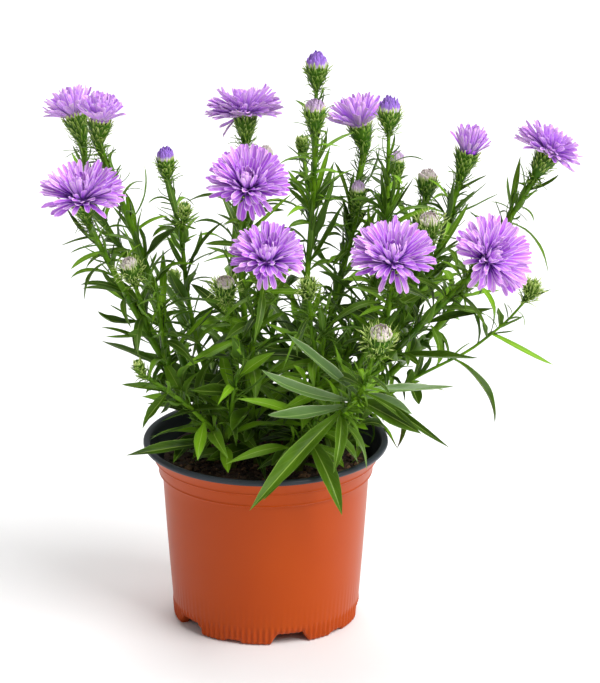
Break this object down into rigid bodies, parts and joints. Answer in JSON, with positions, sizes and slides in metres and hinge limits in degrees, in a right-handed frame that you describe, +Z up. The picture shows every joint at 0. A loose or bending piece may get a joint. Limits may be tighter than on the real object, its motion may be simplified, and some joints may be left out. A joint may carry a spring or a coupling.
{
  "type": "potted aster",
  "caption": "Bushy aster with narrow leaves, lilac double flower heads and green buds, growing in soil in a round tapered nursery pot.",
  "frame": {"origin": "on the standing plane, on the pot's axis, at the middle of the pad under the pot", "axes": "+Z up along the pot's axis, -Y towards the front of the plant, +X to the plant's right as seen from the front"},
  "size_m": [0.2595, 0.1787, 0.2779],
  "materials": {
    "pot_plastic": "satin terracotta-coloured plastic, dark grey inside",
    "potting_soil": "matte, crumbly peat and bark mix",
    "leaf_green": "soft satin leaf, with a paler midrib",
    "petal_lilac": "soft matte petal",
    "petal_pale": "matte, whitish closed petals"
  },
  "bodies": {
    "root": {"bloom_back_right": "petal_lilac", "bloom_centre": "petal_lilac", "bloom_centre_back": "petal_lilac", "bloom_far_left": "petal_lilac", "bloom_far_right": "petal_lilac", "bloom_left_back": "petal_lilac", "bloom_left_front": "petal_lilac", "bloom_low_centre": "petal_lilac", "bloom_right": "petal_lilac", "bloom_right_back": "petal_lilac", "bloom_right_front": "petal_lilac", "bud_centre_back": "petal_pale", "bud_front": "petal_pale", "bud_left_front": "petal_pale", "bud_left_tall": "petal_lilac", "bud_low_left": "petal_pale", "bud_mid_right": "petal_lilac", "bud_right_back": "petal_pale", "bud_right_mid": "petal_pale", "bud_right_small": "petal_lilac", "bud_right_tall": "petal_lilac", "bud_top": "petal_lilac", "bud_top_front": "petal_lilac", "pot": "pot_plastic", "shoot_back": "leaf_green", "shoot_back_left": "leaf_green", "shoot_back_low_right": "leaf_green", "shoot_back_right": "leaf_green", "shoot_centre_back": "leaf_green", "shoot_centre_front": "leaf_green", "shoot_far_right": "leaf_green", "shoot_front": "leaf_green", "shoot_left_back": "leaf_green", "shoot_left_front": "leaf_green", "shoot_left_mid": "leaf_green", "shoot_low_front": "leaf_green", "shoot_low_left": "leaf_green", "shoot_low_right": "leaf_green", "shoot_right_back": "leaf_green", "shoot_right_centre": "leaf_green", "shoot_right_front": "leaf_green", "shoot_right_mid": "leaf_green", "shoot_top": "leaf_green", "soil": "potting_soil"}
  },
  "joints": []
}
